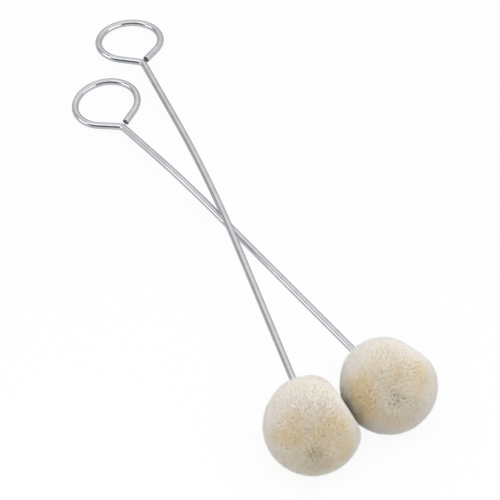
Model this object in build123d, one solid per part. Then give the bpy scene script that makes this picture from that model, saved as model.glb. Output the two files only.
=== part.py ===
from build123d import *
from dataclasses import dataclass
from math import acos, cos, radians, sin, sqrt
import os

# A pair of wool daubers, laid down crossed. Millimetres and degrees, +Z up, floor at Z = 0.
# Each dauber is one bent wire, with a finger eye at one end and a ball of sheepskin at the other.

# Wire handle
wire_d = 2.03            # 14 gauge steel wire
eye_r = 9.58             # finger eye, to the middle of the wire
eye_point = 2.42         # how far the corner of the neck stands out from the eye's circle
neck_bend_r = 2.5        # bend from the eye into the shaft
cut_chamfer = 0.12       # broken edge round both cut ends

# Hook at the wire's inner end, which keeps it in the ball
hook_drop = 2.4          # how far the wire runs past the middle of the ball
hook_bend_r = 1.75
hook_flat = 0.5          # straight between the hook's two bends
hook_tail = 2.8          # tail that comes back beside the shaft

# Ball, from the inside out
wad_wall = 0.4           # wool left round the outside of the hook
hide_wall = 1.2          # leather side of the sheepskin
gather_wall = 1.6        # hide gathered round the shaft, above the ball of hide
gather_rise = 3.4        # how far that neck stands up
gather_fillet = 1.0
thread_d = 0.8           # waxed thread that ties the neck
thread_count = 3         # turns of it
thread_lift = 1.3        # first turn above the ball of hide
thread_bite = 0.15       # how deep the thread sinks into the hide
seat_fit = 0.05          # room left round what sits inside the wool

# How the pair lies
floor_press = 0.5        # each ball of wool is pressed flat by this much on the floor
ball_gap = 0.3           # left between the two balls' pressed faces
crossing_gap = 0.2       # left between the two wires where they cross
head_bearing = 213.0     # plan direction from the under ball to the over ball


@dataclass
class Dauber:
    """One dauber: its own sizes, and the way it lies."""

    name: str
    head_r: float        # ball of wool
    side_press: float    # how far the other ball presses this one flat
    reach: float         # middle of the ball to the corner of the neck, in plan
    bearing: float       # plan direction from the ball to the neck
    bow_from_neck: float  # neck to the corner that the shaft's long bow is rounded from
    bow_rise: float      # height of that corner above a straight shaft
    bow_side: float      # its offset to the left, seen from the ball
    bow_r: float         # radius of the bow
    eye_turn: float      # eye's plan direction against the shaft's
    eye_pitch: float     # slope of the eye, down from the neck
    eye_roll: float      # twist of the eye about that slope
    end_gap: float       # between the cut end and the neck
    eye_lift: float = 0.0  # the eye's height off the floor, where another wire lies under it
    head: Vector = None  # middle of the ball, set by place_heads


under = Dauber(
    name="under",
    head_r=13.5,
    side_press=0.25,
    reach=129.0,
    bearing=126.6,
    bow_from_neck=31.0,
    bow_rise=2.4,
    bow_side=-0.15,
    bow_r=310.0,
    eye_turn=-10.5,
    eye_pitch=7.1,
    eye_roll=-4.6,
    end_gap=0.9,
)
over = Dauber(
    name="over",
    head_r=13.6,
    side_press=1.75,
    reach=151.1,
    bearing=109.3,
    bow_from_neck=56.0,
    bow_rise=3.6,        # first guess: rest_over_on_under settles it
    bow_side=-2.4,
    bow_r=455.0,
    eye_turn=2.9,
    eye_pitch=10.7,
    eye_roll=1.2,
    end_gap=0.55,
)

wire_r = wire_d / 2
eye_reach = eye_r + eye_point
hook_width = 2 * hook_bend_r + hook_flat
wad_r = hook_width + wire_r + wad_wall
hide_r = wad_r + hide_wall
gather_r = wire_r + gather_wall
thread_ring_r = gather_r + thread_d / 2 - thread_bite
thread_pitch = 0.9 * thread_d    # the turns are pulled tight against each other
UP = Vector(0, 0, 1)


def plan_direction(bearing):
    return Vector(cos(radians(bearing)), sin(radians(bearing)), 0)


def place_heads():
    """Set both balls on the floor, pressed side by side."""
    spacing = under.head_r - under.side_press + ball_gap + over.head_r - over.side_press
    beside = plan_direction(head_bearing) * spacing
    under.head = Vector(0, 0, under.head_r - floor_press)
    over.head = Vector(beside.X, beside.Y, over.head_r - floor_press)


def pressed_plane(d):
    """The upright flat that the other ball presses on this one, facing out of it."""
    towards = plan_direction(head_bearing) if d is under else -plan_direction(head_bearing)
    return Plane(d.head + towards * (d.head_r - d.side_press), z_dir=towards)


def eye_frame(d):
    """Unit directions of the eye: neck to eye centre, sideways, and square to its plane."""
    outward = plan_direction(d.bearing + d.eye_turn)
    axis = outward * cos(radians(d.eye_pitch)) - UP * sin(radians(d.eye_pitch))
    normal = axis.cross(UP.cross(outward)).rotate(Axis((0, 0, 0), axis), d.eye_roll)
    return axis, normal.cross(axis), normal


def neck_corner(d):
    """Corner of the neck, at the height that sets the eye's far side on the floor."""
    _, _, normal = eye_frame(d)
    height = eye_reach * sin(radians(d.eye_pitch)) + eye_r * sqrt(1 - normal.Z**2) + wire_r
    below_head = Vector(d.head.X, d.head.Y, d.eye_lift)
    return below_head + plan_direction(d.bearing) * d.reach + UP * height


def bow_corner(d):
    """Corner that the shaft's long bow is rounded from."""
    neck = neck_corner(d)
    sideways = UP.cross(plan_direction(d.bearing))
    along = (d.head - neck).normalized() * d.bow_from_neck
    return neck + along + UP * d.bow_rise + sideways * d.bow_side


def head_plane(d):
    """Local frame of the ball: Z up along the shaft, X towards the hook."""
    along = (bow_corner(d) - d.head).normalized()
    return Plane(origin=d.head, x_dir=UP.cross(along).normalized(), z_dir=along)


def hook_tip(d):
    return head_plane(d).from_local_coords((hook_width, 0, hook_tail - hook_drop))


def eye_points(d):
    """The eye's round part: where the shaft's side leaves it, its far point, and its free side."""
    axis, side, _ = eye_frame(d)
    centre = neck_corner(d) + axis * eye_reach
    half = acos(eye_r / eye_reach)

    def rim(angle):
        return centre - axis * eye_r * cos(angle) + side * eye_r * sin(angle)

    return rim(half), centre + axis * eye_r, rim(-half)


def free_end(d):
    """Middle of the wire's cut end, on the eye's free side, just short of the neck."""
    _, _, free_side = eye_points(d)
    outward = (free_side - neck_corner(d)).normalized()
    return neck_corner(d) + outward * (wire_r + d.end_gap)


def shaft_line(d):
    """Middle line of the wire from the eye, through the neck and the bow, to the hook's tip."""
    plane = head_plane(d)
    shaft_side, _, _ = eye_points(d)
    corners = [
        shaft_side,
        neck_corner(d),
        bow_corner(d),
        plane.from_local_coords((0, 0, -hook_drop)),
        plane.from_local_coords((hook_width, 0, -hook_drop)),
        hook_tip(d),
    ]
    return FilletPolyline(*corners, radius=[neck_bend_r, d.bow_r, hook_bend_r, hook_bend_r])


def whole_line(d):
    """Middle line of the whole wire, from the cut end at the eye to the hook's tip."""
    shaft_side, far_point, free_side = eye_points(d)
    free_run = Line(free_end(d), free_side)
    round_part = ThreePointArc(free_side, far_point, shaft_side)
    return Wire([free_run.edge(), round_part.edge()] + list(shaft_line(d).edges()))


def rest_over_on_under():
    """Raise the over dauber until its wire clears the under one by the crossing gap."""
    under_line = whole_line(under)
    apart = wire_d + crossing_gap
    for _ in range(8):
        shaft_side, far_point, free_side = eye_points(over)
        eye = ThreePointArc(free_side, far_point, shaft_side)
        over.eye_lift += max(0, apart - eye.distance_to(under_line))
        over.bow_rise += apart - shaft_line(over).distance_to(under_line)


def wire_handle(d):
    """The whole wire, bent from one length: free end, eye, neck, shaft and hook."""
    path = whole_line(d)
    wire = sweep(Plane(free_end(d), z_dir=path % 0) * Circle(wire_r), path=path)
    cut_edges = [
        edge
        for edge in wire.edges().filter_by(GeomType.CIRCLE)
        if min((edge.arc_center - end).length for end in (free_end(d), hook_tip(d))) < wire_r / 2
    ]
    return chamfer(cut_edges, cut_chamfer)


def core_wad(d, wire):
    """Wad of wool, packed round the hook."""
    return head_plane(d) * Sphere(wad_r) - wire


def gathered_hide(grow=0.0):
    """Outside of the hide in the ball's frame: a ball with a neck gathered round the shaft."""
    top = hide_r + gather_rise
    neck = Pos(0, 0, top / 2) * Cylinder(gather_r + grow, top + 2 * grow)
    shape = Sphere(hide_r + grow) + neck
    root = shape.edges().filter_by(GeomType.CIRCLE).sort_by(Axis.Z)[-2]
    return fillet(root, gather_fillet)


def thread_turns():
    """Turns of waxed thread round the gathered neck, in the ball's frame."""
    turns = Pos(0, 0, hide_r + thread_lift) * Torus(thread_ring_r, thread_d / 2)
    for i in range(1, thread_count):
        turns += Pos(0, 0, hide_r + thread_lift + i * thread_pitch) * Torus(thread_ring_r, thread_d / 2)
    return turns


def hide_cup(d):
    """Leather side of the sheepskin, drawn up over the wad and grooved by the thread."""
    shaft_hole = Pos(0, 0, hide_r) * Cylinder(wire_r + seat_fit, 2 * hide_r)
    return head_plane(d) * (gathered_hide() - Sphere(wad_r) - shaft_hole - thread_turns())


def binding(d):
    return head_plane(d) * thread_turns()


def wool_pile(d):
    """Ball of wool round the hide, pressed flat on the floor and against the other ball."""
    thread_span = (thread_count - 1) * thread_pitch
    thread_middle = hide_r + thread_lift + thread_span / 2
    thread_room = Cylinder(
        thread_ring_r + thread_d / 2 + seat_fit,
        thread_span + thread_d + 2 * seat_fit,
    )
    shaft_room = Pos(0, 0, d.head_r) * Cylinder(wire_r + seat_fit, 2 * d.head_r)
    inside = gathered_hide(seat_fit) + Pos(0, 0, thread_middle) * thread_room + shaft_room
    ball = head_plane(d) * (Sphere(d.head_r) - inside)
    block = 4 * d.head_r
    floor = Pos(d.head.X, d.head.Y, -block / 2) * Box(block, block, block)
    neighbour = pressed_plane(d) * Pos(0, 0, block / 2) * Box(block, block, block)
    return ball - floor - neighbour


place_heads()
rest_over_on_under()
parts = {}
for dauber in (under, over):
    handle = wire_handle(dauber)
    parts[dauber.name + "_wire_handle"] = handle
    parts[dauber.name + "_core_wad"] = core_wad(dauber, handle)
    parts[dauber.name + "_hide_cup"] = hide_cup(dauber)
    parts[dauber.name + "_binding"] = binding(dauber)
    parts[dauber.name + "_wool_pile"] = wool_pile(dauber)

# The origin is under the middle of the pair, on the floor.
middle = Compound(list(parts.values())).bounding_box().center()
to_origin = Pos(-middle.X, -middle.Y, 0)

os.makedirs("parts", exist_ok=True)
for node, shape in parts.items():
    export_step(to_origin * shape, f"parts/{node}.step")

# Places that the record's mounts and openings are written from
for dauber in (under, over):
    eye_axis, _, eye_normal = eye_frame(dauber)
    eye_centre = neck_corner(dauber) + eye_axis * eye_reach
    for label, point in (("ball", dauber.head), ("eye", eye_centre)):
        print(dauber.name, label, [round(v, 3) for v in (to_origin * Pos(*point)).position])
    print(dauber.name, "eye normal", [round(v, 5) for v in eye_normal])
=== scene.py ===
import math

import bmesh
import bpy
import numpy as np
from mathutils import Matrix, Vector, noise


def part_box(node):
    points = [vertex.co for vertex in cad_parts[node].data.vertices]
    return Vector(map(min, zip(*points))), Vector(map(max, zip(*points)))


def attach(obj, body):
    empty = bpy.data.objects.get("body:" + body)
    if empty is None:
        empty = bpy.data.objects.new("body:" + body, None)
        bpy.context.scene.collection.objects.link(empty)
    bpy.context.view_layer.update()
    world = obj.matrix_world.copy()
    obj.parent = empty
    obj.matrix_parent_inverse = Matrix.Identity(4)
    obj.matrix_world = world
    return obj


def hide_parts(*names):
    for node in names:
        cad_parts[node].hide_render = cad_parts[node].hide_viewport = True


# A crossed pair of wool daubers: bent zinc-plated wire handles, each with a ball of sheepskin wool.
# Metres, +Z up, floor at Z = 0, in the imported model's own frame.

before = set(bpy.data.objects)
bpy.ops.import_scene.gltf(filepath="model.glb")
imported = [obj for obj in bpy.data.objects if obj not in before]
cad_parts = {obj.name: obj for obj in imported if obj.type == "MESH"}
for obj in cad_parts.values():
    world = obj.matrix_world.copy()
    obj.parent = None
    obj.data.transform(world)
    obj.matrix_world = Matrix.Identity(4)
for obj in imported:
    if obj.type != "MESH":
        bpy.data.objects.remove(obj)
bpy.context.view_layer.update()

MM = 0.001

# Lengths are in metres, scales of noise in lumps to the metre

# Wire
WIRE_R = 1.015 * MM
RING_SPACING = 0.5 * MM      # between two rings of the wire's mesh
WIRE_SIDES = 28
SAME_RING = 0.2 * MM         # corners of the CAD wire nearer than this share a ring
LINE_STEPS = 24              # of the smooth line, from one CAD ring to the next
CUT_BEVEL = 0.12 * MM        # broken edge round the cut ends
RIM_ANGLE = math.radians(60)     # sharper edges are bevelled
CRISP_ANGLE = math.radians(40)   # sharper edges are shaded crisp

# Ball of wool
WOOL_DEPTH = 1.6 * MM        # loose fibre outside the matted underwool
PILE_SKIN = 2.2 * MM         # corners of the CAD pile this near the ball's outside are drawn in
OUTSIDE_SHARE = 0.66         # of the ball's radius, past which the underwool grows fibre
UNDERWOOL_VOXEL = 0.45 * MM
UNDERWOOL_LUMP = 0.15 * MM
FIBRE_R = 0.060 * MM
FIBRES_PER_LOCK = 16200
LOCKS = 5                    # pieces that a ball's fibres are parted into, round the shaft
LONGEST_FIBRE = 20 * MM
FIBRE_GLOW_REACH = 0.25 * MM # how far light goes inside the wool
FIBRE_STRAY = 0.85           # how far a fibre leans its own way off the ball's normal, as a slope
TUFT_LEAN = 0.12             # how far a whole tuft leans
TUFT_SCALE = 620.0           # of the noise that leans the tufts
PARTING = 0.06               # lean away from the crown
CROWN_PARTING = 0.22         # how much more of it there is near the crown
CROWN_SWIRL = 1.6            # lean round the crown, near it
FIBRE_CURL = 0.30 * MM       # how far a fibre's tip bends sideways
BEND_SCALE = 2300.0          # of the noise that bends neighbours alike
SHARED_BEND = 0.4            # share of the curl that neighbours have alike
OWN_BEND = 0.38              # share that is a fibre's own
TRIM_SPREAD = 0.10           # how much shorter the shortest fibre is, as a share
CROWN_DIMPLE = 0.22          # how much shorter a fibre is in the middle of the crown, as a share
TIP_OVER = 0.30 * MM         # how far the longest tips stand past the clipped ball
NECK_FULLNESS = 0.80 * MM    # how much longer the wool is round the neck
PRESS_SOFTNESS = 4.0 * MM    # width over which a pressed place rounds off
FLOOR_CLEAR = 0.03 * MM
NEIGHBOUR_CLEAR = 0.03 * MM  # between a fibre and the middle plane where the balls press together
SHAFT_CLEAR = 0.15 * MM      # between the shaft and the nearest root

# Tone of the fibres, from 0 (bleached) to 1 (grey)
TONE_STEPS = 48              # different tones that a fibre can have
PALEST = 0.10                # on a bleached place, before its own draw
CROWN_WARMTH = 0.20          # added round the crown
PATCH_SCALE = 170.0          # of the noise that sets the tan patches
PATCH_TAN = 0.14             # added in the tan patches
SPOT_TAN = 0.15              # added in the tan spot
OLDEST = 0.60                # highest tone that an unmarked fibre can have
# Raises the tone cap on the tan side, which is partly painted warm bounce light from the other ball
HIGHER_ON_BOUNCE_SIDE = 0.07         # how much higher it is on the yellowed side
# Dark grey fibres in the middle of the crown are painted shade deep where the pile parts
GREY_SHARE = 0.22            # of the fibres, grey in the middle of the crown
DULL_PICK = 0.4              # middle of the draws that make a fibre dull
GREY_TONE = 0.95             # of the marked fibres at the crown
# Grey-green fibres near the crown are painted shade in the depth of the parted pile
GREEN_TONE = 0.79            # of those in the stain
DULL_TONE = 0.75             # of those strewn all over
# Seeds of a fibre's random draws, over its ball's own seed
STRAY_DRAW, TONE_DRAW, MARK_DRAW, SPIN_DRAW, GIRTH_DRAW, BEND_DRAW = range(10, 16)

# Inside the ball
WAD_VOXEL = 0.30 * MM
WAD_LUMP = 0.16 * MM
THREAD_R = 0.40 * MM
THREAD_TURNS = 3
THREAD_PITCH = 0.72 * MM
THREAD_PLIES = 3
THREAD_TWISTS = 8            # whole twists of the plies in each turn
PLY_R = THREAD_R / (1 + 1 / math.sin(math.pi / THREAD_PLIES))
PLY_SIDES = 8
TURN_POINTS = 144

# Camera and softbox
CAMERA_ELEVATION = math.radians(51.0)
CAMERA_DISTANCE = 0.879
CAMERA_LENS = 216.0
CAMERA_TARGET = Vector((1.12, -2.455, 0.0)) * MM
CAMERA_NEAR = 0.05
CAMERA_FAR = 20.0
SOFTBOX_PLACE = Vector((0.04, -0.26, 0.58))
SOFTBOX_TARGET = Vector((0.0, -0.05, 0.0))
SOFTBOX_WIDTH = 0.6
SOFTBOX_HEIGHT = 0.5
SOFTBOX_WATTS = 3.05

FLOOR_HALF = 2.5
FLOOR_GLOW = 0.92            # share of the floor that glows, which hides its soft shadows
FLOOR_MIRRORED = 0.80        # how bright the floor is in the wire, where the wire shades it
STUDIO_LIT = (0.74, 1.20)    # how bright the studio is as it lights the wool, low down and overhead
STUDIO_MIRRORED = (0.68, 1.08)   # and as the wire mirrors it
OVERHEAD = 0.9               # rise of a direction, from which the studio counts as overhead

# What the wire mirrors, as zones of the studio: level heading off the front in degrees, half widths
# where the zone is full and where it ends, heights between which each side of it fades, and strength
MIRRORED_DARKS = (
    (-15.0, 42.0, 48.0, ((0.84, 0.68),), 0.84),
    (-117.0, 8.0, 13.0, ((0.72, 0.60),), 0.40),
    (-100.0, 9.0, 13.0, ((0.50, 0.54), (0.75, 0.70)), 0.78),
)
MIRRORED_LIGHTS = (
    (-84.0, 14.0, 18.0, ((0.18, 0.24), (0.48, 0.45)), 1.80),
    (-74.0, 17.0, 28.0, ((0.66, 0.72), (0.94, 0.88)), 0.70),
    (60.0, 25.0, 31.0, ((0.06, 0.14), (0.48, 0.42)), 1.80),
)

DAUBERS = {
    "under": dict(
        body="dauber_under",
        other="over",
        crown=(0.150, -0.798, 0.584),
        # Grey-green patch: painted shade where the pile parts near the crown
        painted_green_shade=(0.455, -0.854, 0.250),
        painted_green_shade_share=0.22,
        # Tan side: partly the wool's own tan, partly painted warm bounce light and shade from the other ball
        tan_and_painted_bounce=(-0.720, -0.580, 0.300),
        tan_and_painted_bounce_strength=0.36,
        tan_spot=(0.450, -0.340, 0.825),
        dent=(0.545, 0.652, 0.527),
        dent_distance=12.8 * MM,
    ),
    "over": dict(
        body="dauber_over",
        other="under",
        crown=(0.014, -0.945, 0.326),
        # Grey-green patch: painted shade where the pile parts near the crown
        painted_green_shade=(0.115, -0.992, 0.033),
        painted_green_shade_share=0.42,
        # Tan side: partly the wool's own tan, partly painted warm bounce light from the other ball
        tan_and_painted_bounce=(0.470, -0.790, 0.390),
        tan_and_painted_bounce_strength=0.22,
        tan_spot=(-0.550, -0.540, 0.640),
        dent=(0.829, 0.434, 0.352),
        dent_distance=10.9 * MM,
    ),
}


# ---------------------------------------------------------------- node trees

def fill(tree, node, inputs):
    """Give a node's inputs their values, or link them to other nodes' sockets."""
    for key, value in inputs.items():
        if isinstance(value, bpy.types.NodeSocket):
            tree.links.new(value, node.inputs[key])
        else:
            node.inputs[key].default_value = value


def put(tree, kind, inputs=None, **settings):
    """Place a node with its settings, and fill its inputs."""
    node = tree.nodes.new(kind)
    for name, value in settings.items():
        setattr(node, name, value)
    fill(tree, node, inputs or {})
    return node


def calc(tree, operation, *values, clamp=False):
    node = put(tree, "ShaderNodeMath", dict(enumerate(values)), operation=operation, use_clamp=clamp)
    return node.outputs[0]


def plus(tree, a, b):
    return calc(tree, "ADD", a, b)


def minus(tree, a, b):
    return calc(tree, "SUBTRACT", a, b)


def times(tree, a, b):
    return calc(tree, "MULTIPLY", a, b)


def vector(tree, operation, *values):
    """A vector operation's answer: its number for a dot product or a length, else its vector."""
    node = put(tree, "ShaderNodeVectorMath", dict(enumerate(values)), operation=operation)
    return node.outputs["Value" if operation in ("DOT_PRODUCT", "LENGTH") else "Vector"]


def dot(tree, a, b):
    return vector(tree, "DOT_PRODUCT", a, b)


def scaled(tree, value, factor):
    node = put(tree, "ShaderNodeVectorMath", {0: value, "Scale": factor}, operation="SCALE")
    return node.outputs["Vector"]


def combined(tree, **parts):
    """A vector from its X, Y and Z."""
    return put(tree, "ShaderNodeCombineXYZ", parts).outputs[0]


def parts_of(tree, value):
    """A vector's X, Y and Z, by name."""
    return put(tree, "ShaderNodeSeparateXYZ", {0: value}).outputs


def ramp_value(tree, value, low, high, to_low=0.0, to_high=1.0):
    """value from low..high to to_low..to_high, eased at both ends."""
    inputs = {0: value, 1: low, 2: high, 3: to_low, 4: to_high}
    return put(tree, "ShaderNodeMapRange", inputs, interpolation_type="SMOOTHSTEP").outputs[0]


def noise_texture(tree, place, scale, detail, **more):
    return put(tree, "ShaderNodeTexNoise", {"Vector": place, "Scale": scale, "Detail": detail, **more})


def new_group(name, kind, inputs, outputs):
    """An empty node group with its named sockets: the tree, what it is given, and what it gives."""
    tree = bpy.data.node_groups.new(name, kind)
    for socket_name, socket_type, default in inputs:
        socket = tree.interface.new_socket(socket_name, in_out="INPUT", socket_type=socket_type)
        if default is not None:
            socket.default_value = default
    for socket_name, socket_type in outputs:
        tree.interface.new_socket(socket_name, in_out="OUTPUT", socket_type=socket_type)
    return tree, tree.nodes.new("NodeGroupInput").outputs, tree.nodes.new("NodeGroupOutput").inputs


FLOAT, VECTOR, COLOUR = "NodeSocketFloat", "NodeSocketVector", "NodeSocketColor"
GEOMETRY, MATERIAL, OBJECT, INTEGER = (
    "NodeSocketGeometry", "NodeSocketMaterial", "NodeSocketObject", "NodeSocketInt",
)


def add_object(name, data):
    """A new object in the scene."""
    piece = bpy.data.objects.new(name, data)
    bpy.context.scene.collection.objects.link(piece)
    return piece


def plain_mesh(piece):
    """A piece's mesh as its modifiers leave it."""
    depsgraph = bpy.context.evaluated_depsgraph_get()
    return bpy.data.meshes.new_from_object(
        piece.evaluated_get(depsgraph), preserve_all_data_layers=True, depsgraph=depsgraph,
    )


def run_tree(name, source, tree, values):
    """A plain mesh from a Geometry Nodes tree on source. values are the tree's inputs, by name."""
    holder = add_object(name + "_source", source)
    modifier = holder.modifiers.new("tree", "NODES")
    modifier.node_group = tree
    sockets = {s.name: s.identifier for s in tree.interface.items_tree if s.in_out == "INPUT"}
    for key, value in values.items():
        modifier[sockets[key]] = value
    mesh = plain_mesh(holder)
    bpy.data.objects.remove(holder)
    mesh.name = name
    return add_object(name, mesh)


# ---------------------------------------------------------------- shared shader effects

def raised(tree, height, strength, distance):
    """A normal raised by a height."""
    return put(tree, "ShaderNodeBump", {
        "Strength": strength, "Distance": distance, "Height": height,
    }).outputs[0]


def mixed(tree, factor, a, b, blend="MIX"):
    """Two colours mixed."""
    inputs = {"Factor": factor, 6: a, 7: b}
    return put(tree, "ShaderNodeMix", inputs, data_type="RGBA", blend_type=blend).outputs[2]


def mottle_group():
    """Two colours mixed by soft patches, with a finer grain over them."""
    tree, give, result = new_group("mottle", "ShaderNodeTree", [
        ("Vector", VECTOR, None),
        ("Patch Scale", FLOAT, 300.0),
        ("Grain Scale", FLOAT, 3000.0),
        ("Grain Share", FLOAT, 0.3),
        ("Colour A", COLOUR, None),
        ("Colour B", COLOUR, None),
    ], [("Colour", COLOUR)])
    patches = noise_texture(tree, give["Vector"], give["Patch Scale"], 3.0)
    grain = noise_texture(tree, give["Vector"], give["Grain Scale"], 2.0)
    mask = put(tree, "ShaderNodeMix", {
        "Factor": give["Grain Share"],
        2: ramp_value(tree, patches.outputs[0], 0.32, 0.68),
        3: ramp_value(tree, grain.outputs[0], 0.3, 0.7),
    }, data_type="FLOAT").outputs[0]
    tree.links.new(mixed(tree, mask, give["Colour A"], give["Colour B"]), result["Colour"])
    return tree


def nap_group():
    """Fuzzy surface of matted fibre: a normal raised by warped noise."""
    tree, give, result = new_group("nap", "ShaderNodeTree", [
        ("Vector", VECTOR, None),
        ("Scale", FLOAT, 2500.0),
        ("Depth", FLOAT, 0.0002),
    ], [("Normal", VECTOR)])
    warp = noise_texture(tree, give["Vector"], 600.0, 2.0)
    bent = vector(tree, "ADD", give["Vector"], scaled(tree, warp.outputs["Color"], 0.0012))
    fuzz = noise_texture(tree, bent, give["Scale"], 4.0, Roughness=0.6)
    tree.links.new(raised(tree, fuzz.outputs[0], 1.0, give["Depth"]), result["Normal"])
    return tree


MOTTLE = mottle_group()
NAP = nap_group()


def use_group(tree, group, inputs):
    """Place a node group, and fill its inputs as put does."""
    node = tree.nodes.new("ShaderNodeGroup")
    node.node_tree = group
    fill(tree, node, inputs)
    return node.outputs[0]


def rgb(red, green, blue):
    return (red, green, blue, 1.0)


WHITE = rgb(1.0, 1.0, 1.0)


def mottled(tree, place, patch_scale, grain_scale, grain_share, colour_a, colour_b):
    return use_group(tree, MOTTLE, {
        "Vector": place, "Patch Scale": patch_scale, "Grain Scale": grain_scale, "Grain Share": grain_share,
        "Colour A": rgb(*colour_a), "Colour B": rgb(*colour_b),
    })


def napped(tree, place, scale, depth):
    return use_group(tree, NAP, {"Vector": place, "Scale": scale, "Depth": depth})


def stretched_noise(tree, place, stretch):
    """Noise with its own scale each way."""
    return noise_texture(tree, vector(tree, "MULTIPLY", place, stretch), 1.0, 3.0).outputs[0]


def own_place(tree):
    return put(tree, "ShaderNodeTexCoord").outputs["Object"]


def attribute(tree, name, output="Fac"):
    return put(tree, "ShaderNodeAttribute", attribute_name=name, attribute_type="GEOMETRY").outputs[output]


def colour_ramp(tree, value, stops):
    node = put(tree, "ShaderNodeValToRGB", {0: value})
    ramp = node.color_ramp
    while len(ramp.elements) < len(stops):
        ramp.elements.new(1.0)
    for element, (position, colour) in zip(ramp.elements, stops):
        element.position = position
        element.color = colour
    return node.outputs[0]


# ---------------------------------------------------------------- materials

def new_material(name):
    """A material with one Principled BSDF: the material, its tree and the shader."""
    material = bpy.data.materials.new(name)
    material.use_nodes = True
    tree = material.node_tree
    return material, tree, tree.nodes["Principled BSDF"]


def zinc_wire():
    """Bright zinc plate over drawn wire: fine lines along it, soft clouds in the plate."""
    material, tree, shader = new_material("zinc_plated_wire")
    laid = attribute(tree, "laid", "Vector")
    lines = stretched_noise(tree, laid, (5200.0, 5200.0, 60.0))
    fill(tree, shader, {
        "Base Color": mottled(tree, laid, 420.0, 2600.0, 0.25, (0.56, 0.575, 0.60), (0.64, 0.65, 0.675)),
        "Roughness": ramp_value(tree, lines, 0.35, 0.65, 0.04, 0.08),
        "Normal": raised(tree, lines, 0.35, 0.000002),
        "Metallic": 1.0,
        "Specular Tint": rgb(0.62, 0.63, 0.65),
    })
    return material


def cut_steel():
    """Sheared end of the wire: bare steel, smeared across by the blade."""
    material, tree, shader = new_material("cut_steel")
    place = own_place(tree)
    smear = stretched_noise(tree, place, (900.0, 5000.0, 5000.0))
    fill(tree, shader, {
        "Base Color": mottled(tree, place, 1400.0, 6000.0, 0.4, (0.09, 0.09, 0.10), (0.24, 0.24, 0.25)),
        "Roughness": ramp_value(tree, smear, 0.3, 0.7, 0.3, 0.5),
        "Normal": raised(tree, smear, 0.5, 0.00002),
        "Metallic": 1.0,
    })
    return material


# What a fibre's tone value means: 0 is bleached, 1 is grey
WOOL_TONES = [
    (0.00, rgb(0.955, 0.900, 0.835)),
    (0.30, rgb(0.955, 0.865, 0.715)),
    (0.60, rgb(0.930, 0.715, 0.390)),
    (0.69, rgb(0.880, 0.640, 0.330)),
    (0.74, rgb(0.730, 0.600, 0.390)),
    (0.80, rgb(0.570, 0.540, 0.410)),
    (1.00, rgb(0.130, 0.130, 0.110)),
]
# Darker and warmer toward the root: painted shade deep in the pile, with pale tips
ROOT_TO_TIP = [
    (0.0, rgb(0.93, 0.88, 0.78)),
    (0.45, rgb(0.97, 0.95, 0.91)),
    (0.9, WHITE),
]


def wool_fibre():
    """Loose fibre: its tone sets the tip, it darkens to a warm root as painted shade deep in the pile, and
    light goes some way in.
    """
    material, tree, shader = new_material("wool_fibre")
    tip = colour_ramp(tree, attribute(tree, "tone"), WOOL_TONES)
    depth = colour_ramp(tree, attribute(tree, "along"), ROOT_TO_TIP)
    fill(tree, shader, {
        "Base Color": mixed(tree, 1.0, tip, depth, "MULTIPLY"),
        "Roughness": 0.85,
        "Specular IOR Level": 0.2,
        "Subsurface Weight": 0.7,
        "Subsurface Radius": (1.0, 0.9, 0.75),
        "Subsurface Scale": FIBRE_GLOW_REACH,
        "Sheen Weight": 0.15,
    })
    return material


def underwool():
    """Matted wool under the loose fibre."""
    material, tree, shader = new_material("underwool")
    place = own_place(tree)
    fill(tree, shader, {
        "Base Color": mottled(tree, place, 260.0, 2400.0, 0.35, (0.91, 0.84, 0.72), (0.95, 0.90, 0.81)),
        "Normal": napped(tree, place, 2200.0, 0.0003),
        "Roughness": 0.95,
        "Sheen Weight": 0.2,
    })
    return material


def felted_wad():
    """Wad packed round the hook: greyer, felted hard."""
    material, tree, shader = new_material("felted_wad")
    place = own_place(tree)
    fill(tree, shader, {
        "Base Color": mottled(tree, place, 500.0, 3600.0, 0.5, (0.52, 0.45, 0.34), (0.68, 0.62, 0.50)),
        "Normal": napped(tree, place, 3600.0, 0.00015),
        "Roughness": 0.95,
    })
    return material


def suede_hide():
    """Flesh side of the sheepskin: pale suede with pores."""
    material, tree, shader = new_material("suede_hide")
    place = own_place(tree)
    tone = mottled(tree, place, 380.0, 4200.0, 0.3, (0.62, 0.50, 0.35), (0.78, 0.69, 0.54))
    pores = put(tree, "ShaderNodeTexVoronoi", {"Vector": place, "Scale": 2600.0})
    open_pore = ramp_value(tree, pores.outputs["Distance"], 0.08, 0.3)
    fill(tree, shader, {
        "Base Color": mixed(tree, open_pore, rgb(0.42, 0.33, 0.22), tone),
        "Normal": raised(tree, open_pore, 0.6, 0.00005),
        "Roughness": 0.8,
        "Sheen Weight": 0.1,
    })
    return material


def waxed_thread():
    """Waxed linen: yarn hairs laid along each ply, with wax in the grooves."""
    material, tree, shader = new_material("waxed_thread")
    laid = attribute(tree, "laid", "Vector")
    hairs = stretched_noise(tree, laid, (9000.0, 9000.0, 900.0))
    fill(tree, shader, {
        "Base Color": mottled(tree, laid, 900.0, 7000.0, 0.5, (0.66, 0.58, 0.42), (0.84, 0.78, 0.64)),
        "Roughness": ramp_value(tree, hairs, 0.3, 0.7, 0.35, 0.6),
        "Normal": raised(tree, hairs, 0.6, 0.00003),
    })
    return material


ZINC = zinc_wire()
CUT_STEEL = cut_steel()
FIBRE = wool_fibre()
UNDERWOOL = underwool()
WAD = felted_wad()
SUEDE = suede_hide()
THREAD = waxed_thread()


# ---------------------------------------------------------------- reading the frame

def read(items, name, width, kind=float):
    """One property of many mesh items, as an array."""
    values = np.empty(len(items) * width, kind)
    items.foreach_get(name, values)
    return values.reshape(-1, width) if width > 1 else values


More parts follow.
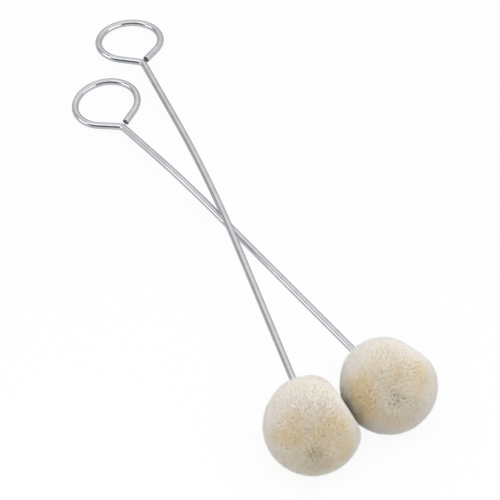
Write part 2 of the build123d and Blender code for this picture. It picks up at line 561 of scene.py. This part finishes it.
def wire_line(name):
    """Middle line of a dauber's wire, end to end, from the rings of its mesh: places and directions."""
    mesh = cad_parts[name + "_wire_handle"].data
    place = read(mesh.vertices, "co", 3)[read(mesh.loops, "vertex_index", 1, int)]
    middle = place - read(mesh.corner_normals, "vector", 3) * WIRE_R
    ring = np.full(len(middle), -1)
    count = 0
    while (ring < 0).any():
        first = middle[np.argmax(ring < 0)]
        ring[(ring < 0) & (np.linalg.norm(middle - first, axis=1) < SAME_RING)] = count
        count += 1
    corners = np.bincount(ring)
    beside = [set() for _ in range(count)]
    for triangle in ring.reshape(-1, 3):
        for i in triangle:
            beside[i].update(j for j in triangle if j != i)

    def walk(start):
        line = [start]
        while True:
            ahead = [i for i in beside[line[-1]] if i not in line]
            if not ahead:
                return line
            line.append(max(ahead, key=lambda i: corners[i]))

    line = walk(walk(int(np.argmax(corners)))[-1])
    places = [Vector(middle[ring == i].mean(0)) for i in line]
    directions = []
    for k, i in enumerate(line):
        spread = place[ring == i] - place[ring == i].mean(0)
        square = Vector(np.linalg.svd(spread, full_matrices=False)[2][2])
        onward = places[min(k + 1, len(places) - 1)] - places[max(k - 1, 0)]
        directions.append(square if square.dot(onward) > 0 else -square)
    return places, directions


def soft_excess(over):
    """How much of a height is above a limit, easing in from PRESS_SOFTNESS below it."""
    eased = max(PRESS_SOFTNESS - abs(over), 0.0) / PRESS_SOFTNESS
    return max(over, 0.0) + eased ** 3 * PRESS_SOFTNESS / 6


class Ball:
    """A dauber's ball of wool, read from its CAD nodes."""

    def __init__(self, name, line):
        low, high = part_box(name + "_wool_pile")
        self.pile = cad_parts[name + "_wool_pile"]
        self.radius = (high.x - low.x) / 2
        self.centre = Vector(((low.x + high.x) / 2, (low.y + high.y) / 2, high.z - self.radius))
        outside = [p for p in line if (p - self.centre).length > self.radius]
        nearest = min(outside, key=lambda p: (p - self.centre).length)
        self.shaft = (nearest - self.centre).normalized()

    def reach(self, direction):
        """How far the CAD pile goes from the ball's centre in a direction."""
        place = read(self.pile.data.vertices, "co", 3) - np.array(self.centre)
        return float((place @ np.array(direction)).max())

    def press(self, other):
        """Set the plane where the two balls press together: its direction and distance from the centre."""
        apart = (other.centre - self.centre).to_2d().to_3d()
        self.towards = apart.normalized()
        own = self.reach(self.towards)
        self.flat = own + (apart.length - own - other.reach(-self.towards)) / 2

    def dented(self, place, dent, distance):
        """A place, drawn in where something has dented the ball."""
        height = (place - self.centre).dot(dent)
        return place - dent * soft_excess(height - distance)


# ---------------------------------------------------------------- sweeps

def store(tree, geometry, name, value, kind="FLOAT", domain="POINT"):
    """Keep a value on the geometry, under a name."""
    return put(tree, "GeometryNodeStoreNamedAttribute", {
        "Geometry": geometry, "Name": name, "Value": value,
    }, data_type=kind, domain=domain).outputs[0]


def stored(tree, name, kind="FLOAT"):
    return put(tree, "GeometryNodeInputNamedAttribute", {"Name": name}, data_type=kind).outputs[0]


def realized(tree, geometry):
    return put(tree, "GeometryNodeRealizeInstances", {"Geometry": geometry}).outputs[0]


def coated(tree, geometry, material, **where):
    """The geometry with a material, on all of it or on a Selection."""
    inputs = {"Geometry": geometry, "Material": material, **where}
    return put(tree, "GeometryNodeSetMaterial", inputs).outputs[0]


def smoothed(tree, geometry):
    return put(tree, "GeometryNodeSetShadeSmooth", {"Geometry": geometry, "Shade Smooth": True}).outputs[0]


def here(tree):
    return put(tree, "GeometryNodeInputPosition").outputs[0]


def upright_along(tree, direction):
    """A rotation that stands +Z along a direction."""
    return put(tree, "FunctionNodeAlignRotationToVector", {"Vector": direction}, axis="Z").outputs[0]


def circle(tree, points, radius):
    return put(tree, "GeometryNodeCurvePrimitiveCircle", {
        "Resolution": points, "Radius": radius,
    }, mode="RADIUS").outputs["Curve"]


def sweep(tree, rail, length, profile, caps):
    """Sweeps a profile along a rail. "laid" is where a corner lies, if the sweep is laid straight."""
    tube = put(tree, "GeometryNodeCurveToMesh", {
        "Curve": store(tree, rail, "onward", length),
        "Profile Curve": store(tree, profile, "across", here(tree), "FLOAT_VECTOR"),
        "Fill Caps": caps,
    })
    across = parts_of(tree, stored(tree, "across", "FLOAT_VECTOR"))
    laid = combined(tree, X=across["X"], Y=across["Y"], Z=stored(tree, "onward"))
    return store(tree, tube.outputs[0], "laid", laid, "FLOAT_VECTOR")


# ---------------------------------------------------------------- wire handles

def wire_tree():
    """Sweeps a round wire along a curve, plated all along and bare on its cut ends."""
    tree, give, result = new_group("wire_sweep", "GeometryNodeTree", [
        ("Line", GEOMETRY, None),
        ("Radius", FLOAT, WIRE_R),
        ("Spacing", FLOAT, RING_SPACING),
        ("Sides", INTEGER, WIRE_SIDES),
        ("Plate", MATERIAL, None),
        ("Cut End", MATERIAL, None),
    ], [("Mesh", GEOMETRY)])
    even = put(tree, "GeometryNodeResampleCurve", {
        "Curve": give["Line"], "Length": give["Spacing"],
    }, mode="LENGTH")
    length = put(tree, "GeometryNodeSplineParameter").outputs["Length"]
    profile = circle(tree, give["Sides"], give["Radius"])
    tube = sweep(tree, even.outputs["Curve"], length, profile, True)
    sides = put(tree, "GeometryNodeCornersOfFace").outputs["Total"]
    is_cap = put(tree, "FunctionNodeCompare", {2: sides, 3: 4}, data_type="INT", operation="GREATER_THAN")
    plated = coated(tree, tube, give["Plate"])
    ended = coated(tree, plated, give["Cut End"], Selection=is_cap.outputs[0])
    tree.links.new(realized(tree, ended), result["Mesh"])
    return tree


def smooth_line(name, places, directions):
    """A curve that leaves each place in its own direction."""
    curve = bpy.data.curves.new(name, "CURVE")
    curve.dimensions = "3D"
    spline = curve.splines.new("BEZIER")
    spline.bezier_points.add(len(places) - 1)
    befores = places[:1] + places[:-1]
    afters = places[1:] + places[-1:]
    stops = zip(spline.bezier_points, places, directions, befores, afters)
    for point, place, direction, before, after in stops:
        point.handle_left_type = "FREE"
        point.handle_right_type = "FREE"
        point.co = place
        point.handle_left = place - direction * (place - before).length / 3
        point.handle_right = place + direction * (after - place).length / 3
    spline.resolution_u = LINE_STEPS
    return curve


def apply_modifiers(piece):
    mesh = plain_mesh(piece)
    piece.modifiers.clear()
    piece.data = mesh
    mesh.name = piece.name


def wire_handle(name, places, directions):
    """The wire, with a broken edge round its cut ends."""
    line = smooth_line(name + "_line", places, directions)
    piece = run_tree(name + "_handle_wire", line, WIRE_TREE, {"Plate": ZINC, "Cut End": CUT_STEEL})
    modifier = piece.modifiers.new("broken_edge", "BEVEL")
    modifier.width = CUT_BEVEL
    modifier.segments = 2
    modifier.limit_method = "ANGLE"
    modifier.angle_limit = RIM_ANGLE
    apply_modifiers(piece)
    piece.data.shade_smooth()
    piece.data.set_sharp_from_angle(angle=CRISP_ANGLE)
    return piece


# ---------------------------------------------------------------- wool

def voxel_copy(name, node, voxel):
    """An even, closed copy of a CAD node's mesh."""
    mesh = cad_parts[node].data.copy()
    body = bmesh.new()
    body.from_mesh(mesh)
    bmesh.ops.remove_doubles(body, verts=body.verts, dist=1e-6)
    body.to_mesh(mesh)
    body.free()
    piece = add_object(name, mesh)
    modifier = piece.modifiers.new("even", "REMESH")
    modifier.mode = "VOXEL"
    modifier.voxel_size = voxel
    apply_modifiers(piece)
    piece.data.materials.clear()
    return piece


def lumpiness(place, coarse, fine):
    """Lumps with smaller lumps on them, about zero."""
    return noise.noise(place * coarse) + 0.5 * noise.noise(place * fine)


def underwool_piece(name, ball, dent, distance):
    """Matted wool between the hide and the loose fibre: the CAD ball drawn in, with a lumpy outside."""
    piece = voxel_copy(name + "_underwool", name + "_wool_pile", UNDERWOOL_VOXEL)
    room = WIRE_R + SHAFT_CLEAR
    for vertex in piece.data.vertices:
        spoke = vertex.co - ball.centre
        reach = spoke.length
        if reach > ball.radius - PILE_SKIN:
            lump = lumpiness(spoke, 420.0, 1100.0)
            vertex.co = ball.centre + spoke * (reach - WOOL_DEPTH + lump * UNDERWOOL_LUMP) / reach
            vertex.co = ball.dented(vertex.co, dent, distance - WOOL_DEPTH)
        out_of_axis = vertex.co - ball.centre
        height = out_of_axis.dot(ball.shaft)
        sideways = out_of_axis - ball.shaft * height
        if height > 0 and 0 < sideways.length < room:
            vertex.co += sideways.normalized() * (room - sideways.length)
    piece.data.shade_smooth()
    piece.data.materials.append(UNDERWOOL)
    return piece


def tangent_part(tree, value, normal):
    """The part of a direction that lies along the surface."""
    return vector(tree, "SUBTRACT", value, scaled(tree, normal, dot(tree, value, normal)))


def centred_noise(tree, place, scale):
    """A vector of noise about zero."""
    pattern = noise_texture(tree, place, scale, 2.0)
    return vector(tree, "SUBTRACT", pattern.outputs["Color"], (0.5, 0.5, 0.5))


def random_value(tree, low, high, seed):
    node = put(tree, "FunctionNodeRandomValue", {2: low, 3: high, "Seed": seed}, data_type="FLOAT")
    return node.outputs[1]


def random_vector(tree, seed):
    node = put(tree, "FunctionNodeRandomValue", {
        0: (-1.0, -1.0, -1.0), 1: (1.0, 1.0, 1.0), "Seed": seed,
    }, data_type="FLOAT_VECTOR")
    return node.outputs[0]


def moved(tree, geometry, direction, distance):
    """The geometry, each corner moved its own distance in a direction."""
    return put(tree, "GeometryNodeSetPosition", {
        "Geometry": geometry, "Offset": scaled(tree, direction, distance),
    }).outputs[0]


def placed(tree, geometry, x, y, z):
    """The geometry, each corner moved to its own place."""
    return put(tree, "GeometryNodeSetPosition", {
        "Geometry": geometry, "Position": combined(tree, X=x, Y=y, Z=z),
    }).outputs[0]


def fibre_tree():
    """Plants tapered, curled wool fibres on the underwool, long enough to reach the ball's outside.

    Fibres part at the crown, stand square to the ball elsewhere, and lie together in tufts.
    """
    tree, give, result = new_group("wool_fibres", "GeometryNodeTree", [
        ("Underwool", GEOMETRY, None),
        ("Outside", OBJECT, None),
        ("Centre", VECTOR, None),
        ("Shaft", VECTOR, None),
        ("Crown", VECTOR, None),
        # Grey-green patch near the crown: painted shade where the pile parts
        ("Stain", VECTOR, None),
        ("Stain Share", FLOAT, 0.4),
        # Tan side: partly the wool's own tan, partly painted warm bounce light from the other ball
        ("Yellowed", VECTOR, None),
        ("Yellowing", FLOAT, 0.3),
        ("Tan Spot", VECTOR, None),
        ("Towards Other Ball", VECTOR, None),
        ("Flat Distance", FLOAT, 0.013),
        ("Dent", VECTOR, None),
        ("Dent Distance", FLOAT, 0.013),
        ("Outside Radius", FLOAT, 0.0135),
        ("Density", FLOAT, 3.0e7),
        ("Fibre Radius", FLOAT, FIBRE_R),
        ("Stray", FLOAT, FIBRE_STRAY),
        ("Tuft Lean", FLOAT, TUFT_LEAN),
        ("Curl", FLOAT, FIBRE_CURL),
        ("Tip Over", FLOAT, TIP_OVER),
        ("Neck Fullness", FLOAT, NECK_FULLNESS),
        ("Lock", INTEGER, 0),
        ("Locks", INTEGER, LOCKS),
        ("Seed", INTEGER, 0),
        ("Material", MATERIAL, None),
    ], [("Mesh", GEOMETRY)])
    place = here(tree)
    parts = parts_of(tree, place)
    spoke = vector(tree, "SUBTRACT", place, give["Centre"])
    reach = vector(tree, "LENGTH", spoke)
    is_outside = calc(tree, "GREATER_THAN", reach, times(tree, give["Outside Radius"], OUTSIDE_SHARE))
    planted = put(tree, "GeometryNodeDistributePointsOnFaces", {
        "Mesh": give["Underwool"], "Selection": is_outside, "Density": give["Density"], "Seed": give["Seed"],
    }, distribute_method="RANDOM")

    def seed(draw):
        return plus(tree, give["Seed"], draw)

    # Round the shaft: no roots in the wire, and one share of the turn for each lock
    radial = vector(tree, "NORMALIZE", spoke)
    sideways = tangent_part(tree, spoke, give["Shaft"])
    in_wire = times(tree,
        calc(tree, "GREATER_THAN", dot(tree, spoke, give["Shaft"]), 0.0),
        calc(tree, "LESS_THAN", vector(tree, "LENGTH", sideways), WIRE_R + SHAFT_CLEAR))
    level = vector(tree, "NORMALIZE", vector(tree, "CROSS_PRODUCT", (0.0, 0.0, 1.0), give["Shaft"]))
    upward = vector(tree, "CROSS_PRODUCT", give["Shaft"], level)
    turn = calc(tree, "ARCTAN2", dot(tree, sideways, upward), dot(tree, sideways, level))
    share = times(tree, plus(tree, calc(tree, "DIVIDE", turn, math.tau), 0.5), give["Locks"])
    in_lock = calc(tree, "COMPARE", calc(tree, "FLOOR", share), give["Lock"], 0.1)
    roots = put(tree, "GeometryNodeDeleteGeometry", {
        "Geometry": planted.outputs["Points"],
        "Selection": calc(tree, "MAXIMUM", in_wire, minus(tree, 1.0, in_lock)),
    }, domain="POINT")

    # Which way a fibre stands
    facing = dot(tree, radial, give["Crown"])
    near_crown = ramp_value(tree, facing, 0.90, 0.995)
    away = vector(tree, "NORMALIZE", tangent_part(tree, scaled(tree, give["Crown"], -1.0), radial))
    around = vector(tree, "CROSS_PRODUCT", give["Crown"], radial)
    parted = vector(tree, "ADD",
        scaled(tree, away, calc(tree, "MULTIPLY_ADD", near_crown, CROWN_PARTING, PARTING)),
        scaled(tree, around, times(tree, near_crown, CROWN_SWIRL)))
    tuft = scaled(tree, centred_noise(tree, place, TUFT_SCALE), give["Tuft Lean"])
    stray = scaled(tree, random_vector(tree, seed(STRAY_DRAW)), give["Stray"])
    loose = tangent_part(tree, vector(tree, "ADD", tuft, stray), radial)
    stand = vector(tree, "NORMALIZE", vector(tree, "ADD", radial, vector(tree, "ADD", parted, loose)))
    shared_bend = scaled(tree, centred_noise(tree, place, BEND_SCALE), SHARED_BEND)
    own_bend = scaled(tree, random_vector(tree, seed(BEND_DRAW)), OWN_BEND)
    bend = tangent_part(tree, vector(tree, "ADD", shared_bend, own_bend), stand)

    # How long it is
    outside = put(tree, "GeometryNodeObjectInfo", {"Object": give["Outside"]})
    hit = put(tree, "GeometryNodeRaycast", {
        "Target Geometry": outside.outputs["Geometry"],
        "Source Position": place, "Ray Direction": stand, "Ray Length": LONGEST_FIBRE,
    })
    shortness = calc(tree, "POWER", random_value(tree, 0.0, 1.0, give["Seed"]), 1.5)
    trimmed = minus(tree, 1.0, times(tree, shortness, TRIM_SPREAD))
    dimple = minus(tree, 1.0, times(tree, ramp_value(tree, facing, 0.975, 1.0), CROWN_DIMPLE))
    neck = ramp_value(tree, dot(tree, radial, give["Shaft"]), 0.72, 0.95)
    tip_over = calc(tree, "MULTIPLY_ADD", neck, give["Neck Fullness"], give["Tip Over"])
    to_tip = plus(tree, hit.outputs["Hit Distance"], tip_over)
    length = times(tree, to_tip, times(tree, trimmed, dimple))

    # Its tone: warm round the crown and in patches; on one side partly the wool's own tan and partly painted
    # warm bounce light from the other ball;
    # dark grey fibres at the crown and grey-green ones near it, painted shade where the pile parts; dull
    # fibres strewn all over
    patch = noise_texture(tree, place, PATCH_SCALE, 2.0).outputs[0]
    warm = times(tree, ramp_value(tree, facing, 0.25, 0.88), CROWN_WARMTH)
    tan = times(tree, ramp_value(tree, patch, 0.42, 0.66), PATCH_TAN)
    # The tan side is partly the wool's own tan and partly painted warm bounce light and shade from the other
    # ball
    by_side = ramp_value(tree, dot(tree, radial, give["Yellowed"]), 0.72, 0.97)
    in_spot = ramp_value(tree, dot(tree, radial, give["Tan Spot"]), 0.84, 0.99)
    tan_and_painted_bounce = times(tree,
        calc(tree, "MULTIPLY_ADD", by_side, give["Yellowing"], times(tree, in_spot, SPOT_TAN)),
        ramp_value(tree, patch, 0.36, 0.62, 0.60, 1.20))
    own = random_value(tree, -0.14, 0.16, seed(TONE_DRAW))
    base_tone = plus(tree, plus(tree, PALEST, warm), plus(tree, tan, tan_and_painted_bounce))
    cap_raise = times(tree, by_side, give["Yellowing"])
    tone_cap = calc(tree, "MULTIPLY_ADD", cap_raise, HIGHER_ON_BOUNCE_SIDE, OLDEST)
    capped_tone = calc(tree, "MINIMUM", plus(tree, base_tone, own), tone_cap)
    picked = random_value(tree, 0.0, 1.0, seed(MARK_DRAW))
    # Dark grey fibres at the crown: painted shade where the pile parts
    grey_share = times(tree, ramp_value(tree, facing, 0.980, 0.9995), GREY_SHARE)
    # Grey-green fibres near the crown: painted shade in the parted pile
    in_painted_green_shade = ramp_value(tree, dot(tree, radial, give["Stain"]), 0.92, 0.995)
    green_share = times(tree, in_painted_green_shade, give["Stain Share"])
    dull_share = ramp_value(tree, facing, 0.10, 0.97, 0.07, 0.13)
    is_grey = calc(tree, "LESS_THAN", picked, grey_share)
    is_green = calc(tree, "GREATER_THAN", picked, minus(tree, 1.0, green_share))
    off_middle = calc(tree, "ABSOLUTE", minus(tree, picked, DULL_PICK))
    is_dull = calc(tree, "LESS_THAN", off_middle, times(tree, dull_share, 0.5))
    marked = calc(tree, "MAXIMUM", times(tree, is_grey, GREY_TONE), times(tree, is_green, GREEN_TONE))
    marked = calc(tree, "MAXIMUM", marked, times(tree, is_dull, DULL_TONE))
    tone = calc(tree, "MAXIMUM", capped_tone, marked, clamp=True)
    step = calc(tree, "FLOOR", times(tree, tone, TONE_STEPS - 0.01))
    stepped = calc(tree, "DIVIDE", plus(tree, step, 0.5), TONE_STEPS)
    points = store(tree, roots.outputs[0], "tone", stepped)
    points = store(tree, points, "bend", bend, "FLOAT_VECTOR")

    # One fibre, a unit long: three sides, fullest near the root and drawn to a point
    cone = put(tree, "GeometryNodeMeshCone", {
        "Vertices": 3, "Side Segments": 2, "Radius Top": 0.0, "Radius Bottom": 1.0, "Depth": 1.0,
    }, fill_type="NGON")
    to_point = calc(tree, "SUBTRACT", 1.0, parts["Z"], clamp=True)
    widen = calc(tree, "DIVIDE",
        calc(tree, "POWER", to_point, 0.35), calc(tree, "MAXIMUM", to_point, 0.001))
    fibre = placed(tree, cone.outputs["Mesh"],
        times(tree, parts["X"], widen), times(tree, parts["Y"], widen), parts["Z"])
    fibre = store(tree, fibre, "along", parts["Z"])
    fibre = store(tree, fibre, "around", plus(tree, times(tree, parts["X"], 0.5), 0.5))

    spin = put(tree, "FunctionNodeAxisAngleToRotation", {
        "Axis": (0.0, 0.0, 1.0), "Angle": random_value(tree, 0.0, math.tau, seed(SPIN_DRAW)),
    })
    spun = put(tree, "FunctionNodeRotateRotation", {
        "Rotation": upright_along(tree, stand), "Rotate By": spin.outputs[0],
    }, rotation_space="LOCAL")
    girth = times(tree, give["Fibre Radius"], random_value(tree, 0.75, 1.25, seed(GIRTH_DRAW)))
    coat = put(tree, "GeometryNodeInstanceOnPoints", {
        "Points": points, "Instance": fibre, "Rotation": spun.outputs[0],
        "Scale": combined(tree, X=girth, Y=girth, Z=length),
    })
    wool = realized(tree, coat.outputs[0])

    # Curl it, dent the ball, then keep it off the other ball and the floor
    along = stored(tree, "along")
    sway = times(tree, give["Curl"], times(tree, calc(tree, "POWER", along, 2.0), 4.0))
    wool = moved(tree, wool, stored(tree, "bend", "FLOAT_VECTOR"), sway)
    above_dent = minus(tree, dot(tree, spoke, give["Dent"]), give["Dent Distance"])
    in_dent = calc(tree, "SMOOTH_MAX", above_dent, 0.0, PRESS_SOFTNESS)
    wool = moved(tree, wool, give["Dent"], times(tree, in_dent, -1.0))
    limit = minus(tree, give["Flat Distance"], NEIGHBOUR_CLEAR)
    beyond = calc(tree, "MAXIMUM", 0.0, minus(tree, dot(tree, spoke, give["Towards Other Ball"]), limit))
    wool = moved(tree, wool, give["Towards Other Ball"], times(tree, beyond, -1.0))
    wool = placed(tree, wool, parts["X"], parts["Y"], calc(tree, "MAXIMUM", parts["Z"], FLOOR_CLEAR))

    # The map that the colour can be laid out on: across it the tones, up it the fibre
    aside = times(tree, minus(tree, stored(tree, "around"), 0.5), 0.9)
    across = plus(tree, stored(tree, "tone"), calc(tree, "DIVIDE", aside, TONE_STEPS))
    wool = store(tree, wool, "OFBake", combined(tree, X=across, Y=along), "FLOAT2", "CORNER")
    for label in ("bend", "around"):
        wool = put(tree, "GeometryNodeRemoveAttribute", {"Geometry": wool, "Name": label}).outputs[0]
    tree.links.new(coated(tree, smoothed(tree, wool), give["Material"]), result["Mesh"])
    return tree


def unit(direction):
    return Vector(direction).normalized()


def wool_locks(name, ball, underwool, own, seed):
    """The ball's loose fibre, one piece for each lock round the shaft."""
    outside_from = OUTSIDE_SHARE * ball.radius
    area = sum(p.area for p in underwool.data.polygons if (p.center - ball.centre).length > outside_from)
    return [
        run_tree(f"{name}_wool_lock_{lock + 1}", underwool.data, FIBRE_TREE, {
            "Outside": ball.pile,
            "Centre": ball.centre,
            "Shaft": ball.shaft,
            "Crown": unit(own["crown"]),
            "Stain": unit(own["painted_green_shade"]),
            "Stain Share": own["painted_green_shade_share"],
            "Yellowed": unit(own["tan_and_painted_bounce"]),
            "Yellowing": own["tan_and_painted_bounce_strength"],
            "Tan Spot": unit(own["tan_spot"]),
            "Towards Other Ball": ball.towards,
            "Flat Distance": ball.flat,
            "Dent": unit(own["dent"]),
            "Dent Distance": own["dent_distance"],
            "Outside Radius": ball.radius,
            "Density": LOCKS * FIBRES_PER_LOCK / area,
            "Lock": lock,
            "Seed": seed,
            "Material": FIBRE,
        })
        for lock in range(LOCKS)
    ]


# ---------------------------------------------------------------- inside the ball

def wad_piece(name):
    """Lumpy wad, kept inside its CAD node."""
    piece = voxel_copy(name + "_felted_wad", name + "_core_wad", WAD_VOXEL)
    for vertex in piece.data.vertices:
        lump = lumpiness(vertex.co, 700.0, 1900.0)
        vertex.co -= vertex.normal * WAD_LUMP * (0.75 + lump) * 0.5
    piece.data.shade_smooth()
    piece.data.materials.append(WAD)
    return piece


def copies(tree, points, instance):
    """A real copy of the instance at each point."""
    node = put(tree, "GeometryNodeInstanceOnPoints", {"Points": points, "Instance": instance})
    return realized(tree, node.outputs[0])


def thread_tree():
    """Turns of plied thread round the gathered neck, side by side."""
    tree, give, result = new_group("bound_thread", "GeometryNodeTree", [
        ("Turns", INTEGER, THREAD_TURNS),
        ("Pitch", FLOAT, THREAD_PITCH),
        ("Turn Radius", FLOAT, 0.003),
        ("Plies", INTEGER, THREAD_PLIES),
        ("Ply Radius", FLOAT, PLY_R),
        ("Twists", FLOAT, THREAD_TWISTS),
        ("Place", VECTOR, None),
        ("Shaft", VECTOR, None),
        ("Thread", MATERIAL, None),
    ], [("Mesh", GEOMETRY)])
    rises = put(tree, "GeometryNodeMeshLine", {
        "Count": give["Turns"], "Offset": combined(tree, Z=give["Pitch"]),
    }, mode="OFFSET")
    turns = copies(tree, rises.outputs[0], circle(tree, TURN_POINTS, give["Turn Radius"]))
    spline = put(tree, "GeometryNodeSplineParameter").outputs
    twist = times(tree, times(tree, spline["Factor"], give["Twists"]), math.tau)
    twisted = put(tree, "GeometryNodeSetCurveTilt", {"Curve": turns, "Tilt": twist})

    half_apart = calc(tree, "SINE", calc(tree, "DIVIDE", math.pi, give["Plies"]))
    middles = circle(tree, give["Plies"], calc(tree, "DIVIDE", give["Ply Radius"], half_apart))
    section = copies(tree, middles, circle(tree, PLY_SIDES, give["Ply Radius"]))
    bound = put(tree, "GeometryNodeTransform", {
        "Geometry": sweep(tree, twisted.outputs[0], spline["Length"], section, False),
        "Translation": give["Place"],
        "Rotation": upright_along(tree, give["Shaft"]),
    })
    real = realized(tree, smoothed(tree, bound.outputs[0]))
    tree.links.new(coated(tree, real, give["Thread"]), result["Mesh"])
    return tree


def bound_thread(name, ball):
    """Thread turns, fitted where the CAD binding lies."""
    spokes = [v.co - ball.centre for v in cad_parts[name + "_binding"].data.vertices]
    heights = [spoke.dot(ball.shaft) for spoke in spokes]
    widest = max((spoke - ball.shaft * height).length for spoke, height in zip(spokes, heights))
    return run_tree(name + "_bound_thread", bpy.data.meshes.new("thread"), THREAD_TREE, {
        "Turn Radius": widest - THREAD_R,
        "Place": ball.centre + ball.shaft * (min(heights) + THREAD_R),
        "Shaft": ball.shaft,
        "Thread": THREAD,
    })


WIRE_TREE = wire_tree()
THREAD_TREE = thread_tree()
FIBRE_TREE = fibre_tree()

lines = {name: wire_line(name) for name in DAUBERS}
balls = {name: Ball(name, lines[name][0]) for name in DAUBERS}
for seed, (name, own) in enumerate(DAUBERS.items()):
    ball = balls[name]
    ball.press(balls[own["other"]])
    handle = wire_handle(name, *lines[name])
    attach(handle, own["body"])
    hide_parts(name + "_wire_handle")

    under = underwool_piece(name, ball, unit(own["dent"]), own["dent_distance"])
    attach(under, own["body"])
    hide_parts(name + "_wool_pile")
    for lock in wool_locks(name, ball, under, own, seed * 100):
        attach(lock, own["body"])

    wad = wad_piece(name)
    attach(wad, own["body"])
    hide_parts(name + "_core_wad")

    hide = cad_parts[name + "_hide_cup"]
    hide.data.materials[0] = SUEDE

    thread = bound_thread(name, ball)
    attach(thread, own["body"])
    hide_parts(name + "_binding")


# ---------------------------------------------------------------- floor, light and camera

def blended(tree, share, a, b):
    """Two shaders' nodes, mixed into one."""
    return put(tree, "ShaderNodeMixShader", {0: share, 1: a.outputs[0], 2: b.outputs[0]})


def floor_material():
    """Pale paper that mostly glows, and that the wire mirrors a little darker."""
    material, tree, shader = new_material("floor")
    place = own_place(tree)
    fill(tree, shader, {
        "Base Color": mottled(tree, place, 3.0, 400.0, 0.3, (0.55, 0.55, 0.55), (0.58, 0.58, 0.58)),
        "Roughness": 0.9,
        "Specular IOR Level": 0.1,
    })
    glow = put(tree, "ShaderNodeEmission", {"Color": WHITE, "Strength": 1.0})
    mirrored = put(tree, "ShaderNodeEmission", {"Color": WHITE, "Strength": FLOOR_MIRRORED})
    path = put(tree, "ShaderNodeLightPath").outputs
    seen = blended(tree, times(tree, path["Is Camera Ray"], FLOOR_GLOW), shader, glow)
    whole = blended(tree, path["Is Glossy Ray"], seen, mirrored)
    tree.links.new(whole.outputs[0], tree.nodes["Material Output"].inputs["Surface"])
    return material


def make_floor():
    mesh = bpy.data.meshes.new("floor")
    corners = [(x * FLOOR_HALF, y * FLOOR_HALF, 0) for x, y in ((-1, -1), (1, -1), (1, 1), (-1, 1))]
    mesh.from_pydata(corners, [], [(0, 1, 2, 3)])
    mesh.materials.append(floor_material())
    piece = add_object("floor", mesh)


def make_world():
    """A pale studio, with what bright metal needs to mirror: a dark front, side lights and their frames."""
    world = bpy.data.worlds.new("studio")
    bpy.context.scene.world = world
    world.use_nodes = True
    tree = world.node_tree
    tree.nodes.clear()
    aim = put(tree, "ShaderNodeTexCoord").outputs["Generated"]
    rise = parts_of(tree, aim)["Z"]
    level = vector(tree, "NORMALIZE", vector(tree, "MULTIPLY", aim, (1.0, 1.0, 0.0)))

    def zone(heading, inner, outer, heights):
        """1 within inner degrees of a level heading and 0 past outer, kept to heights: pairs of fades."""
        toward = Vector((math.sin(math.radians(heading)), -math.cos(math.radians(heading)), 0.0))
        near = dot(tree, level, toward)
        mask = ramp_value(tree, near, math.cos(math.radians(outer)), math.cos(math.radians(inner)))
        for none, full in heights:
            mask = times(tree, mask, ramp_value(tree, rise, none, full))
        return mask

    light = ramp_value(tree, rise, 0.0, OVERHEAD, *STUDIO_MIRRORED)
    for *where, share in MIRRORED_DARKS:
        light = times(tree, light, minus(tree, 1.0, times(tree, zone(*where), share)))
    for *where, gain in MIRRORED_LIGHTS:
        light = calc(tree, "MULTIPLY_ADD", zone(*where), gain, light)

    even = ramp_value(tree, rise, 0.0, OVERHEAD, *STUDIO_LIT)
    path = put(tree, "ShaderNodeLightPath").outputs
    light = calc(tree, "MULTIPLY_ADD", path["Is Glossy Ray"], minus(tree, light, even), even)
    studio = put(tree, "ShaderNodeBackground", {"Color": WHITE, "Strength": light})
    backdrop = put(tree, "ShaderNodeBackground", {"Color": WHITE, "Strength": 1.0})
    whole = blended(tree, path["Is Camera Ray"], studio, backdrop)
    tree.links.new(whole.outputs[0], put(tree, "ShaderNodeOutputWorld").inputs["Surface"])


def add_softbox():
    data = bpy.data.lights.new("overhead_softbox", "AREA")
    data.shape = "RECTANGLE"
    data.size = SOFTBOX_WIDTH
    data.size_y = SOFTBOX_HEIGHT
    data.energy = SOFTBOX_WATTS
    light = add_object("overhead_softbox", data)
    light.location = SOFTBOX_PLACE
    light.rotation_euler = (SOFTBOX_TARGET - SOFTBOX_PLACE).to_track_quat("-Z", "Y").to_euler()
    light.visible_glossy = False


def make_camera():
    data = bpy.data.cameras.new("camera")
    data.lens = CAMERA_LENS
    data.clip_start = CAMERA_NEAR
    data.clip_end = CAMERA_FAR
    camera = add_object("camera", data)
    back = Vector((0.0, -math.cos(CAMERA_ELEVATION), math.sin(CAMERA_ELEVATION)))
    camera.location = CAMERA_TARGET + back * CAMERA_DISTANCE
    camera.rotation_euler = (-back).to_track_quat("-Z", "Y").to_euler()
    bpy.context.scene.camera = camera


make_floor()
make_world()
add_softbox()
make_camera()
bpy.context.scene.view_settings.view_transform = "Standard"
